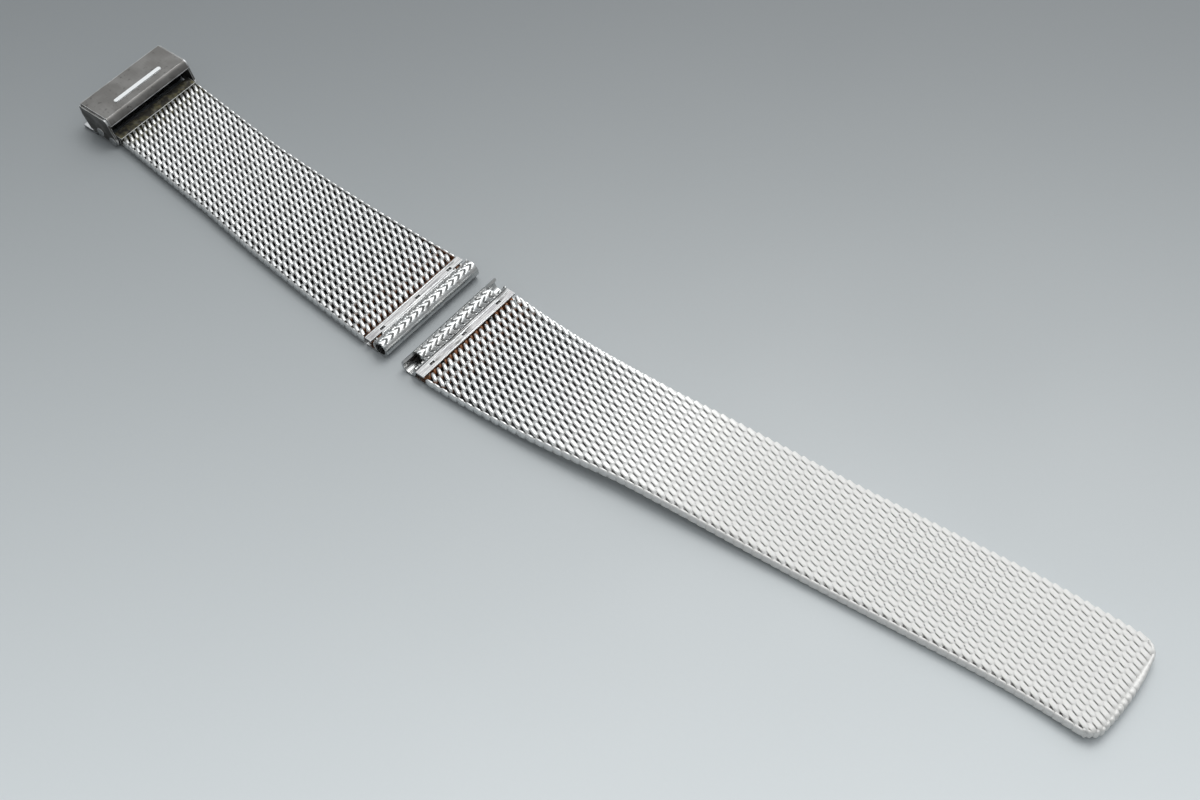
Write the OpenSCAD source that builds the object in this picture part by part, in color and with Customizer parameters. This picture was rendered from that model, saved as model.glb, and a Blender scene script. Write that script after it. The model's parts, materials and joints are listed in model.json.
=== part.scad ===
// Woven mesh watch bracelet in two halves, lying wrist side up.
// The long half is a plain tail with a rounded tip. The short half carries
// a sliding clasp whose cover presses a grip bar against the tail.
// Millimetres. The origin is the middle of the long half's spring bar bore,
// X runs towards the tip, Y runs along the bore and Z points to the wrist.

/* [Mesh] */
// Width of the mesh where it meets the lug ends
lug_w = 17.5; // [16:0.1:22]
// Width of the parallel part of the mesh
strap_w = 14.5; // [10:0.1:15.5]
// Thickness of the mesh
mesh_t = 1.5; // [1.2:0.05:1.7]
// Distance from one row of coils to the next
row_pitch = 1.22; // [1.1:0.01:1.5]
// Gap between neighbouring rows
row_gap = 0.2; // [0.16:0.01:0.24]
// Bevel along the edges of each row
row_bevel = 0.3; // [0.24:0.01:0.34]
// Turns of wire across the width
columns = 17; // [12:1:24]
// Rows in the long half
long_rows = 72; // [50:1:90]
// Rows in the short half
short_rows = 41; // [30:1:55]
// Length over which the long half narrows
long_taper = 27; // [20:0.5:60]
// Length over which the short half narrows
short_taper = 32; // [20:0.5:48]

/* [Lie of the halves] */
// Free gap between the two lug tubes
halves_gap = 2.4; // [1:0.1:12]
// Sideways bend of the long half's middle, in degrees
long_bend = 7; // [0:0.1:8]
// Length over which that bend builds up from the lug end
bend_l = 26; // [10:1:28]
// Length over which it runs out towards the tip
unbend_l = 20; // [8:1:20]
// Turn of the short half's rows at its far end, in degrees
short_turn = 2; // [0:0.1:4]
// Sideways slip of those rows past one another, in degrees
short_slip = 6.8; // [0:0.1:8]
// Length over which turn and slip build up
slip_l = 40; // [20:1:45]
// Steepest slope of the long half's low arch, in degrees
arch_slope = 2.7; // [0:0.1:8]
// Length of the low arch
arch_l = 56; // [30:1:80]
// Upward tilt of the tip, in degrees
tip_tilt = 2; // [0:0.1:8]
// Length over which the tip tilts
tilt_l = 16; // [6:1:30]

/* [Lug ends] */
// Length of the rolled spring bar tube
tube_l = 17.2; // [14:0.1:21]
// Radius of the spring bar bore
bore_r = 0.85; // [0.6:0.05:1.1]
// Thickness of the rolled sheet
sheet_t = 0.35; // [0.25:0.01:0.45]
// Length of each notch at the ends of the long half's tube
notch_l = 1.9; // [1:0.1:3]
// Width of the flat strip between tube and mesh
strip_w = 1.35; // [1:0.05:2.5]
// Thickness of the flat strip
strip_t = 0.3; // [0.2:0.01:0.4]
// Length of each slot between strip and tube on the short half
slot_l = 2; // [1:0.1:4]
// Width of those slots
slot_w = 0.32; // [0.2:0.01:0.5]
// Length of a stake along the strip
stake_l = 0.7; // [0.4:0.05:1.2]
// Width of a stake
stake_w = 0.3; // [0.2:0.01:0.45]
// How far a stake's end lies below the strip's face
stake_drop = 0.12; // [0.05:0.01:0.2]
// Each layer under the strip is shorter by this much at both sides
side_step = 0.1; // [0.05:0.01:0.15]

/* [Tip] */
// Width of the smooth rim round the tip
rim_w = 0.6; // [0.4:0.05:1]
// Radius of the tip's corners
tip_corner_r = 2.2; // [1.2:0.1:4]
// Radius of the tip's shallow curve
tip_r = 34; // [15:1:80]
// Bevel of the rim's edges
rim_bevel = 0.3; // [0.1:0.05:0.4]

/* [Clasp] */
// Height of the clasp over its outer face
clasp_h = 4.5; // [4.2:0.1:6]
// Length of the wrist plate along the strap
plate_l = 5.1; // [4.6:0.1:8]
// Thickness of the wrist plate and its lip
plate_t = 0.5; // [0.35:0.01:0.7]
// Distance from the end pin to the wrist plate
plate_set = 0.6; // [0.5:0.05:1.2]
// Drop of the bent lip below the plate's top
lip_drop = 1; // [0.7:0.05:1.2]
// Length of the bent lip, seen from above
lip_l = 0.8; // [0.6:0.05:0.9]
// Thickness of each cheek
cheek_t = 0.3; // [0.25:0.01:0.7]
// Radius of the cheeks' upper corner on the mesh side
cheek_corner_r = 0.7; // [0.4:0.05:0.9]
// Height of the cheeks' upright far edge
far_edge_h = 1.6; // [1.2:0.05:2]
// Length of the slope under that edge
far_slope_l = 1.2; // [0.8:0.05:1.5]
// Play of the mesh between the cheeks, on each side
tail_play = 0.1; // [0.1:0.01:0.5]
// Length of the raised rib on the plate
rib_l = 8.6; // [4:0.1:10]
// Width of the raised rib
rib_w = 0.62; // [0.3:0.01:1]
// Height of the raised rib
rib_h = 0.14; // [0.05:0.01:0.3]
// Distance from the end pin to the rib
rib_set = 2.1; // [1.5:0.05:4]
// Radius of the pins
pin_r = 0.42; // [0.3:0.01:0.5]
// Running clearance round the pins
pin_play = 0.05; // [0.02:0.01:0.09]
// Radius of the pins' riveted heads
head_r = 0.68; // [0.55:0.01:0.8]
// Height of the riveted heads
head_h = 0.14; // [0.05:0.01:0.3]
// Distance from the end pin to the cover's pin
cover_pin_set = 2.3; // [2.2:0.05:2.7]
// Height of the cover's pin over the outer face
cover_pin_h = 1.35; // [1.25:0.05:1.6]
// Thickness of the cover
cover_t = 0.5; // [0.35:0.01:0.6]
// Radius of the cover's crown
cover_crown_r = 30; // [20:1:90]
// Reach of the cover past the wrist plate
cover_reach = 0.35; // [0:0.05:1.5]
// Thickness of the cover's ears
ear_t = 0.42; // [0.3:0.01:0.6]
// Wall of an ear round the cover's pin
ear_wall = 0.28; // [0.2:0.01:0.35]
// Length of the tongue between the cheeks, past the cover's pin
tongue_l = 1.2; // [1.1:0.05:1.4]
// Width of the grip bar along the strap
grip_w = 1.3; // [0.9:0.05:1.8]
// Number of teeth on the grip bar
grip_teeth = 24; // [8:1:40]
// Height of the teeth
tooth_h = 0.22; // [0.1:0.01:0.3]
// Free height left for the tail over the closed grip bar
tail_slot = 1.65; // [1.4:0.05:2.2]
// Wall of the clamp rolled round the end pin
clamp_t = 0.3; // [0.2:0.01:0.35]
// Grip of the clamp on its row of coils
leaf_in = 0.5; // [0.4:0.05:1.5]

/* [Hidden] */
LONG = "long";
SHORT = "short";
LONG_SECTIONS = 10;
SHORT_SECTIONS = 6;

$fn = 48;
steel = [0.72, 0.73, 0.74];
bright = [0.82, 0.83, 0.84];
dull = [0.55, 0.56, 0.57];
cut = 0.01;                       // overshoot of a cutting tool
seat = 0.03;                      // clearance of pieces fixed to each other
tube_r = bore_r + sheet_t;
mid_z = mesh_t / 2 - tube_r + 0.1; // middle of the mesh, just above the ground
ground_z = -tube_r;
mesh_x = tube_r + 2 * seat + strip_w + row_gap / 2; // edge of the first row's pitch
row_l = row_pitch - row_gap;

// Smooth step from 0 to 1
function smooth(u) = let (c = max(0, min(1, u))) c * c * (3 - 2 * c);
// Heading, sideways slip and slope of the rows at the distance s along a half's mesh
function to_tip(s) = long_rows * row_pitch - s;
function yaw_at(half, s) = half == LONG
    ? long_bend * (smooth(s / bend_l) - smooth(1 - to_tip(s) / unbend_l))
    : short_turn * smooth(s / slip_l);
function slip_at(half, s) = half == LONG ? 0 : -tan(short_slip) * smooth(s / slip_l);
function arch_at(s) = s < arch_l ? arch_slope * sin(360 * s / arch_l) : 0;
function tilt_at(s) = tip_tilt * smooth(1 - to_tip(s) / tilt_l);
function slope_at(half, s) = half == LONG ? arch_at(s) + tilt_at(s) : 0;
// Width of a half at the distance s along its mesh
function taper_of(half) = half == LONG ? long_taper : short_taper;
function width_at(half, s) = strap_w + (lug_w - strap_w) * (1 - min(1, s / taper_of(half)));
// Rows and sections of a half
function rows_of(half) = half == LONG ? long_rows : short_rows;
function sections_of(half) = half == LONG ? LONG_SECTIONS : SHORT_SECTIONS;
function first_row(half, n) = floor(n * rows_of(half) / sections_of(half));
// Points between the rows, walked from the lug end
function walk(half) =
    [for (i = 0, x = mesh_x, y = 0, z = mid_z;
          i <= rows_of(half);
          s = (i + 0.5) * row_pitch,
          a = yaw_at(half, s),
          b = slope_at(half, s),
          slip = slip_at(half, s),
          x = x + row_pitch * (cos(b) * cos(a) - slip * sin(a)),
          y = y + row_pitch * (cos(b) * sin(a) + slip * cos(a)),
          z = z + row_pitch * sin(b),
          i = i + 1)
        [x, y, z]];
long_walk = walk(LONG);
short_walk = walk(SHORT);
function walk_of(half) = half == LONG ? long_walk : short_walk;

// The short half is the long half's frame turned round
module place(half) {
    if (half == LONG) children();
    else translate([-2 * tube_r - halves_gap, 0, 0]) rotate(180) children();
}

module along_y(length) {
    rotate([90, 0, 0]) linear_extrude(length, center = true) children();
}

// One row of coils, with a roll for each turn of the wire
module row_solid(width, thickness, length) {
    roll_r = thickness / 2;
    step = (width - thickness) / (columns - 1);
    intersection() {
        rotate([90, 0, 90]) linear_extrude(length, center = true)
            for (k = [0:columns - 1])
                translate([step * (k - (columns - 1) / 2), 0]) circle(roll_r);
        along_y(width + 1) bevelled(length, thickness, row_bevel);
    }
}

module bevelled(length, height, bevel) {
    a = length / 2;
    b = height / 2;
    polygon([[-a, bevel - b], [bevel - a, -b], [a - bevel, -b], [a, bevel - b],
             [a, b - bevel], [a - bevel, b], [bevel - a, b], [-a, b - bevel]]);
}

module at_row(half, i) {
    s = (i + 0.5) * row_pitch;
    middle = (walk_of(half)[i] + walk_of(half)[i + 1]) / 2;
    translate(middle) rotate([0, -slope_at(half, s), yaw_at(half, s)]) children();
}

// The frame at the end of a half's mesh
module at_end(half) {
    s = rows_of(half) * row_pitch;
    translate(walk_of(half)[rows_of(half)])
        rotate([0, -slope_at(half, s), yaw_at(half, s)])
            children();
}

module mesh_section(half, n) {
    last = first_row(half, n + 1) - 1;
    tip_rows = ceil((tip_corner_r + 1) / row_pitch);
    color(steel) place(half)
        for (i = [first_row(half, n):last])
            if (half == LONG && i >= long_rows - tip_rows)
                intersection() {
                    at_row(half, i) row_solid(width_at(half, (i + 0.5) * row_pitch), mesh_t, row_l);
                    at_end(half) linear_extrude(3 * mesh_t, center = true)
                        tip_outline(rim_w + seat);
                }
            else
                at_row(half, i) row_solid(width_at(half, (i + 0.5) * row_pitch), mesh_t, row_l);
}

// Outline of the tip, drawn in by inset. X is 0 at the end of the last row.
module tip_outline(inset) {
    reach = rim_w + tip_corner_r;
    back = 4 * tip_corner_r;
    half_w = strap_w / 2 + (inset > 0 ? cut : 0);
    corner = max(0.3, tip_corner_r - inset);
    intersection() {
        translate([rim_w + tip_sag() - tip_r, 0]) circle(tip_r - inset, $fn = 180);
        union() {
            translate([-back, -half_w]) square([back + rim_w - inset - corner, 2 * half_w]);
            translate([-back, corner - half_w])
                square([back + reach - inset, 2 * (half_w - corner)]);
            for (side = [-1, 1])
                translate([rim_w - inset - corner, side * (half_w - corner)]) circle(corner);
        }
    }
}

function tip_sag() = tip_r - sqrt(pow(tip_r, 2) - pow(strap_w / 2 - tip_corner_r, 2));

module tip_rim() {
    color(bright) place(LONG) at_end(LONG) intersection() {
        difference() {
            linear_extrude(mesh_t - 0.1, center = true) tip_outline(0);
            linear_extrude(2 * mesh_t, center = true) tip_outline(rim_w);
            translate([rim_w - tip_corner_r + 1 - strap_w, -strap_w, -mesh_t])
                cube([strap_w, 2 * strap_w, 2 * mesh_t]);
        }
        translate([-strap_w / 2 + rim_w + tip_sag(), 0, 0])
            along_y(strap_w + 1) bevelled(strap_w, mesh_t - 0.1, rim_bevel);
    }
}

// Rolled sheet: the spring bar tube and the leaf under the clamped row
module lug_tube(half) {
    leaf_l = mesh_x - row_gap;
    leaf_w = lug_w - 4 * side_step;
    color(bright) place(half) difference() {
        union() {
            along_y(tube_l) circle(tube_r);
            translate([0, -leaf_w / 2, ground_z]) cube([leaf_l, leaf_w, sheet_t]);
        }
        along_y(tube_l + 1) circle(bore_r);
        if (half == LONG)
            for (side = [-1, 1])
                translate([0, side * (tube_l - notch_l + cut) / 2, 0])
                    along_y(notch_l + cut)
                        translate([-0.75 * bore_r, 0.5 * bore_r]) square(3 * tube_r);
    }
}

// Places of the stakes along the strip, as parts of its length
stake_places = [-0.36, -0.02, 0.35];
strip_x = tube_r + seat;
strip_top = mid_z + mesh_t / 2;
stake_x = strip_x + strip_w / 2;
leaf_top = ground_z + sheet_t;

module stake_slots() {
    for (at = stake_places)
        translate([stake_x, at * lug_w, 0])
            cube([stake_w + 2 * seat, stake_l + 2 * seat, 4 * mesh_t], center = true);
}

module lug_strip(half) {
    width = lug_w - 2 * side_step;
    color(bright) place(half) difference() {
        translate([strip_x, -width / 2, strip_top - strip_t]) cube([strip_w, width, strip_t]);
        stake_slots();
        if (half == SHORT)
            for (side = [-1, 1])
                translate([strip_x, side * (width - slot_l) / 2, strip_top])
                    cube([2 * slot_w, slot_l + cut, 3 * strip_t], center = true);
    }
}

module lug_stakes(half) {
    color(dull) place(half)
        for (at = stake_places)
            translate([stake_x - stake_w / 2, at * lug_w - stake_l / 2, leaf_top])
                cube([stake_w, stake_l, strip_top - stake_drop - leaf_top]);
}

// The row of coils pressed flat between leaf and strip
module end_row(half) {
    low = leaf_top + seat;
    high = strip_top - strip_t - seat;
    color(steel) place(half) difference() {
        translate([stake_x, 0, (low + high) / 2])
            flat_row(lug_w - 5 * side_step, high - low, strip_w - side_step);
        stake_slots();
    }
}

// A row with a roll for each turn of the wire, flattened to a thickness
module flat_row(width, thickness, length) {
    step = (width - thickness) / (columns - 1);
    roll_r = max(thickness / 2, 0.54 * step);
    intersection() {
        rotate([90, 0, 90]) linear_extrude(length, center = true)
            for (k = [0:columns - 1])
                translate([step * (k - (columns - 1) / 2), 0]) circle(roll_r);
        cube([2 * length, width, thickness], center = true);
    }
}

// The clasp's own frame: X outwards from the end pin, Z from the outer face
pin_z = mid_z - ground_z;
clamp_r = pin_r + pin_play + clamp_t;
clasp_w = strap_w + 2 * tail_play + 2 * cheek_t;
module at_clasp() {
    mesh_end = short_walk[short_rows];
    reach = clamp_r + leaf_in + row_gap / 2;
    place(SHORT) translate([mesh_end[0], mesh_end[1], ground_z])
        rotate(yaw_at(SHORT, short_rows * row_pitch)) translate([reach, 0, 0])
            children();
}

// The same frame, raised to the end pin's axis
module at_end_pin() {
    at_clasp() translate([0, 0, pin_z]) children();
}

module clamp_row() {
    color(steel) at_end_pin() translate([-clamp_r - leaf_in / 2, 0, 0])
        flat_row(strap_w - 8 * side_step, mesh_t - 2 * clamp_t - 2 * seat, leaf_in - 2 * side_step);
}

// Sheet rolled round the end pin, with two leaves that grip the last row
module mesh_clamp() {
    width = strap_w - 3 * side_step;
    color(dull) at_end_pin() difference() {
        union() {
            along_y(width) circle(clamp_r);
            for (side = [-1, 1])
                translate([-clamp_r - leaf_in, -width / 2, side > 0 ? mesh_t / 2 - clamp_t : -mesh_t / 2])
                    cube([clamp_r + leaf_in, width, clamp_t]);
        }
        along_y(width + 1) circle(pin_r + pin_play);
    }
}

module riveted_pin() {
    length = clasp_w;
    along_y(length + cut) circle(pin_r);
    for (side = [-1, 1])
        translate([0, side * (length / 2 + head_h / 2), 0])
            along_y(head_h) circle(head_r);
}

module end_pin() {
    color(bright) at_end_pin() riveted_pin();
}

module cover_pin() {
    color(bright) at_clasp() translate([cover_pin_set, 0, cover_pin_h]) riveted_pin();
}

// Outline of a cheek, seen along the pins. Its lower edge clears the wide
// part of the cover and reaches lower beside the cover's tongue.
plate_end = plate_set + plate_l;
shoulder_x = cover_pin_set + tongue_l;
module cheek_outline() {
    nose_r = pin_z - side_step / 2;
    top = clasp_h - plate_t / 2;
    corner_x = plate_set + cheek_corner_r / 2;
    corner_z = top - cheek_corner_r;
    over_cover = cover_t + 8 * seat;
    beside_tongue = cover_t - 5 * seat;
    translate([0, pin_z]) circle(nose_r);
    translate([corner_x, corner_z]) circle(cheek_corner_r);
    polygon([[-nose_r, pin_z], [corner_x - cheek_corner_r, corner_z], [corner_x, top],
             [plate_end, top], [plate_end - side_step, clasp_h - far_edge_h],
             [plate_end - far_slope_l, over_cover], [shoulder_x - 3 * seat, over_cover],
             [shoulder_x - tongue_l / 2, beside_tongue], [nose_r / 2, beside_tongue],
             [0, pin_z]]);
}

module clasp_housing() {
    inner = clasp_w - 2 * cheek_t;
    color(steel) at_clasp() difference() {
        union() {
            for (side = [-1, 1])
                translate([0, side * (clasp_w - cheek_t) / 2, 0])
                    along_y(cheek_t) cheek_outline();
            translate([plate_set, -inner / 2 - cut, clasp_h - plate_t])
                cube([plate_l, inner + 2 * cut, plate_t]);
            along_y(inner + 2 * cut) lip_outline();
            rib();
        }
        for (pin = [[0, pin_z], [cover_pin_set, cover_pin_h]])
            translate([pin[0], 0, pin[1]]) along_y(clasp_w + 1) circle(pin_r + seat / 2);
    }
}

// The plate's edge bent down over the passage
module lip_outline() {
    low = clasp_h - lip_drop;
    lip_x = plate_set - lip_l;
    polygon([[plate_set + cut, clasp_h], [plate_set - lip_l / 2, clasp_h - plate_t / 2],
             [lip_x, low], [lip_x + 0.8 * plate_t, low], [plate_set + cut, clasp_h - plate_t]]);
}

module rib() {
    translate([rib_set, 0, clasp_h - cut]) linear_extrude(rib_h + cut) {
        square([rib_w, rib_l - rib_w], center = true);
        for (side = [-1, 1])
            translate([0, side * (rib_l - rib_w) / 2]) circle(rib_w / 2);
    }
}

// Crowned cover over the outer face. Its narrow tongue lies between the
// cheeks and carries an ear at each side for the cover's pin.
module clasp_cover() {
    near = cover_pin_set - pin_r;
    far = plate_end + cover_reach;
    tongue_w = clasp_w - 2 * cheek_t - 4 * seat;
    ear_r = pin_r + pin_play + ear_wall;
    ear_l = grip_near - cover_pin_set + grip_w + ear_r / 2;
    color(steel) at_clasp() difference() {
        union() {
            along_y(tongue_w) cover_outline(near, shoulder_x + cut);
            along_y(clasp_w) cover_outline(shoulder_x, far);
            for (side = [-1, 1])
                translate([0, side * (tongue_w - ear_t) / 2, 0]) along_y(ear_t) {
                    translate([cover_pin_set, cover_pin_h]) circle(ear_r);
                    translate([cover_pin_set - ear_r / 2, cover_t / 2])
                        square([ear_l, cover_pin_h - cover_t / 2]);
                }
        }
        translate([cover_pin_set, 0, cover_pin_h])
            along_y(clasp_w + 1) circle(pin_r + pin_play);
    }
}

// Slice of the crowned plate from one distance to the other
module cover_outline(from, to) {
    middle = (cover_pin_set + plate_end) / 2;
    intersection() {
        translate([middle, cover_crown_r]) difference() {
            circle(cover_crown_r, $fn = 180);
            circle(cover_crown_r - cover_t, $fn = 180);
        }
        translate([from, 0]) square([to - from, 2 * cover_t]);
    }
}

// Toothed bar that presses the tail against the wrist plate
grip_near = cover_pin_set + pin_r + pin_play + ear_wall;
module grip_bar() {
    low = cover_t + 4 * seat;
    high = clasp_h - plate_t - tail_slot - tooth_h;
    length = clasp_w - 2 * cheek_t - 2 * ear_t - 8 * seat;
    step = length / grip_teeth;
    color(dull) at_clasp() union() {
        translate([grip_near, -length / 2, low]) cube([grip_w, length, high - low]);
        translate([grip_near, 0, high]) rotate([90, 0, 90]) linear_extrude(grip_w)
            for (k = [0:grip_teeth - 1])
                translate([(k - grip_teeth / 2) * step, 0])
                    polygon([[0, -cut], [step, -cut], [0.6 * step, tooth_h], [0.4 * step, tooth_h]]);
    }
}

lug_tube(LONG);  // long_lug_tube
lug_strip(LONG);  // long_lug_strip
lug_stakes(LONG);  // long_lug_stakes
end_row(LONG);  // long_end_row
mesh_section(LONG, 0);  // long_mesh_01
mesh_section(LONG, 1);  // long_mesh_02
mesh_section(LONG, 2);  // long_mesh_03
mesh_section(LONG, 3);  // long_mesh_04
mesh_section(LONG, 4);  // long_mesh_05
mesh_section(LONG, 5);  // long_mesh_06
mesh_section(LONG, 6);  // long_mesh_07
mesh_section(LONG, 7);  // long_mesh_08
mesh_section(LONG, 8);  // long_mesh_09
mesh_section(LONG, 9);  // long_mesh_10
tip_rim();
lug_tube(SHORT);  // short_lug_tube
lug_strip(SHORT);  // short_lug_strip
lug_stakes(SHORT);  // short_lug_stakes
end_row(SHORT);  // short_end_row
mesh_section(SHORT, 0);  // short_mesh_01
mesh_section(SHORT, 1);  // short_mesh_02
mesh_section(SHORT, 2);  // short_mesh_03
mesh_section(SHORT, 3);  // short_mesh_04
mesh_section(SHORT, 4);  // short_mesh_05
mesh_section(SHORT, 5);  // short_mesh_06
clamp_row();
mesh_clamp();
end_pin();
clasp_housing();
cover_pin();
clasp_cover();
grip_bar();
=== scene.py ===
"""Looks of a woven wire watch bracelet in two halves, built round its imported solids."""
import json
from math import cos, floor, pi, radians, sin, sqrt, tan

import bpy
import numpy as np
from bpy.props import FloatProperty, FloatVectorProperty, IntProperty, PointerProperty
from mathutils import Matrix, Vector

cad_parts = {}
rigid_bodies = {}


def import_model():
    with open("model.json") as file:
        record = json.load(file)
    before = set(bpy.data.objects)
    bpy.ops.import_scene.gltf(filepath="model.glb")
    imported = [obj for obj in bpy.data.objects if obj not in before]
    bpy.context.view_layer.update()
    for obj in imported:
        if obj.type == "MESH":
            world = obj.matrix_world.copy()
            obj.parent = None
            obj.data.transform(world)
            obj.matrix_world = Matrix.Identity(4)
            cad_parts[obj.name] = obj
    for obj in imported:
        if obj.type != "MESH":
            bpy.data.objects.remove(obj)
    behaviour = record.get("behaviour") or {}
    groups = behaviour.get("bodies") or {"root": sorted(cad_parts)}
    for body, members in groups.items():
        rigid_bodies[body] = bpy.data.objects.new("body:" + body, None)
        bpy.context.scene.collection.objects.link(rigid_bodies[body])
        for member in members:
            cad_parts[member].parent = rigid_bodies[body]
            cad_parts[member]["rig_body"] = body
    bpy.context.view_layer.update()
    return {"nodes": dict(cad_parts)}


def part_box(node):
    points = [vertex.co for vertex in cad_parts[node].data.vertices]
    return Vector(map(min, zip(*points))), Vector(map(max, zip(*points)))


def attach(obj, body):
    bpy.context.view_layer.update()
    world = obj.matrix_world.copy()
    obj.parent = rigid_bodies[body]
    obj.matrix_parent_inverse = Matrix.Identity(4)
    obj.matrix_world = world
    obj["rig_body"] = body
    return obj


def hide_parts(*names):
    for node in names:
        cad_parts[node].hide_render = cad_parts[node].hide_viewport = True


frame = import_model()

bl_info = {
    "name": "Woven Wire Bracelet",
    "version": (1, 0, 0),
    "blender": (4, 5, 0),
    "location": "View3D > Sidebar > Bracelet",
    "description": "Models the coils, lug ends, tip and clasp of a woven wire watch bracelet",
    "category": "Object",
}

MM = 0.001
LONG = "long"
SHORT = "short"
MERGE = 0.002 * MM


def length(name, description, millimetres):
    """A length, written here in millimetres."""
    return FloatProperty(name=name, description=description, default=millimetres * MM,
                         min=0.0, precision=5, unit="LENGTH")


def angle(name, description, degrees):
    """An angle, written here in degrees."""
    return FloatProperty(name=name, description=description, default=radians(degrees),
                         subtype="ANGLE", unit="ROTATION")


def colour(name, description, red, green, blue):
    """A linear colour."""
    return FloatVectorProperty(name=name, description=description, default=(red, green, blue),
                               size=3, min=0.0, max=1.0, subtype="COLOR")


def share(name, description, value):
    """A plain number."""
    return FloatProperty(name=name, description=description, default=value)


class WeaveSettings(bpy.types.PropertyGroup):
    """Sizes of the wire and of the mesh that it is wound into."""
    lug_width: length("Lug width", "Width of the mesh where it meets the lug ends", 17.5)
    strap_width: length("Strap width", "Width of the parallel part of the mesh", 14.5)
    thickness: length("Thickness", "Thickness of the mesh", 1.5)
    row_pitch: length("Row pitch", "Distance from one row of coils to the next", 1.22)
    row_gap: length("Row gap", "Gap between neighbouring rows of the solids", 0.2)
    wire: length("Wire", "Diameter of the wire", 0.54)
    coil_reach: length("Coil reach", "Half width of a coil's winding along the strap", 0.76)
    squareness: share("Squareness", "How square a coil's section is, 2 for an ellipse", 2.3)
    skew: share("Skew", "How much faster a coil advances over its crests than in its bends", 0.2)
    sweep: share("Sweep", "How much more a coil advances on the wrist side than on the other", 0.8)
    press: length("Press", "How far the crests of the coils are pressed flat", 0.13)
    tail_press: length("Tail press", "How far they are pressed flat along the tail", 0.29)
    tail_swell: share("Tail swell", "How much thicker the wire is along the tail", 0.25)
    tail_start: length("Tail start", "Where the coils of the long half are as flat as the tail's", 45)
    bead_length: share("Bead length", "Half length of the coils' fused ends, as a share of the pitch", 0.56)
    bead_width: length("Bead width", "Half width of the fused ends", 0.2)
    bead_height: length("Bead height", "Half height of the fused ends", 0.62)
    bead_squareness: share("Bead squareness", "How boxy the fused ends are, 2 for an ellipsoid", 3.4)
    columns: IntProperty(name="Columns", description="Turns of wire across the width", default=17)
    long_rows: IntProperty(name="Long rows", description="Rows in the long half", default=72)
    short_rows: IntProperty(name="Short rows", description="Rows in the short half", default=41)
    long_taper: length("Long taper", "Length over which the long half narrows", 27)
    short_taper: length("Short taper", "Length over which the short half narrows", 32)


class LieSettings(bpy.types.PropertyGroup):
    """How the two halves lie."""
    long_bend: angle("Long bend", "Sideways bend of the long half's middle", 7)
    bend_length: length("Bend length", "Length over which that bend builds up", 26)
    unbend_length: length("Unbend length", "Length over which it runs out", 20)
    short_turn: angle("Short turn", "Turn of the short half's rows at its far end", 2)
    short_slip: angle("Short slip", "Sideways slip of those rows past one another", 6.8)
    slip_length: length("Slip length", "Length over which turn and slip build up", 40)
    arch_slope: angle("Arch slope", "Steepest slope of the long half's low arch", 2.7)
    arch_length: length("Arch length", "Length of the low arch", 56)
    tip_tilt: angle("Tip tilt", "Upward tilt of the tip", 2)
    tilt_length: length("Tilt length", "Length over which the tip tilts", 16)


class LugSettings(bpy.types.PropertyGroup):
    """Sizes of the rolled lug ends."""
    sheet: length("Sheet", "Thickness of the rolled sheet", 0.35)
    roll: angle("Roll", "How far the sheet is rolled round the bore", 330)
    notch: length("Notch", "Length of the notches at the ends of the long half's tube", 1.9)
    seat: length("Seat", "Clearance of pieces fixed to each other", 0.03)
    stamp_depth: length("Stamp depth", "Depth of the stamped chevrons", 0.11)
    stamp_pitch: length("Stamp pitch", "Distance between stamped chevrons", 1.12)
    stamp_lanes: IntProperty(name="Stamp lanes", description="Lanes of slanting strokes", default=4)
    stamp_slant: share("Stamp slant", "Slant of the strokes across a lane, in stamp pitches", 0.6)
    stamp_from: angle("Stamp from", "Where the stamped band begins, up from the tube's outer side", 52)
    stamp_to: angle("Stamp to", "Where the stamped band ends, beside the strip", 158)
    ridge: length("Ridge", "Radius of the raised lines along the strips", 0.06)
    ridge_in: length("Inner ridge", "From the strip's middle to the line on its tube side", 0.32)
    ridge_out: length("Outer ridge", "From the strip's middle to the line on its mesh side", 0.54)


class TipSettings(bpy.types.PropertyGroup):
    """Sizes of the rounded tip."""
    rim: length("Rim", "Width of the smooth rim round the tip", 0.6)
    corner: length("Corner", "Radius of the tip's corners", 2.2)
    curve: length("Curve", "Radius of the tip's shallow curve", 34)
    scallop: length("Scallop", "Depth of the scallops between the fused wire ends", 0.26)


class ClaspSettings(bpy.types.PropertyGroup):
    """Sizes of the clasp that its solids don't give."""
    leaf: length("Leaf", "Grip of the clamp on the last coils", 0.5)
    rib: length("Rib", "Height of the raised rib on the plate", 0.14)


class FinishSettings(bpy.types.PropertyGroup):
    """Colours of the metals and of what has settled on them."""
    steel: colour("Steel", "Clean steel wire", 0.80, 0.81, 0.81)
    milky: colour("Milky steel", "Fine scratches that turn the tail's wire milky", 0.765, 0.76, 0.745)
    pale: colour("Pale", "The same wire deep in the weave, lit by its neighbours", 0.98, 0.975, 0.965)
    worn: colour("Worn steel", "Dulled steel", 0.60, 0.60, 0.59)
    sheet: colour("Sheet", "Polished sheet of the lug ends", 0.50, 0.515, 0.52)
    strip: colour("Strip", "Dull strips of the lug ends", 0.27, 0.265, 0.275)
    plate: colour("Plate", "Brushed plate of the clasp", 0.175, 0.17, 0.163)
    # Worn edges, painted bright as a highlight as well.
    edge: colour("Edge", "Edges polished by wear", 0.80, 0.82, 0.83)
    # Dark dirt, and also the colour of painted shade deep in the weave, in the stamped grooves and below
    # the clasp plate.
    grime_and_shade: colour("Grime", "Dark dirt deep in the weave", 0.030, 0.028, 0.025)
    rust: colour("Rust", "Rust in the weave near the lug ends", 0.30, 0.115, 0.04)
    verdigris: colour("Old polish", "Yellow green residue near the clasp", 0.17, 0.155, 0.075)


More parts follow.
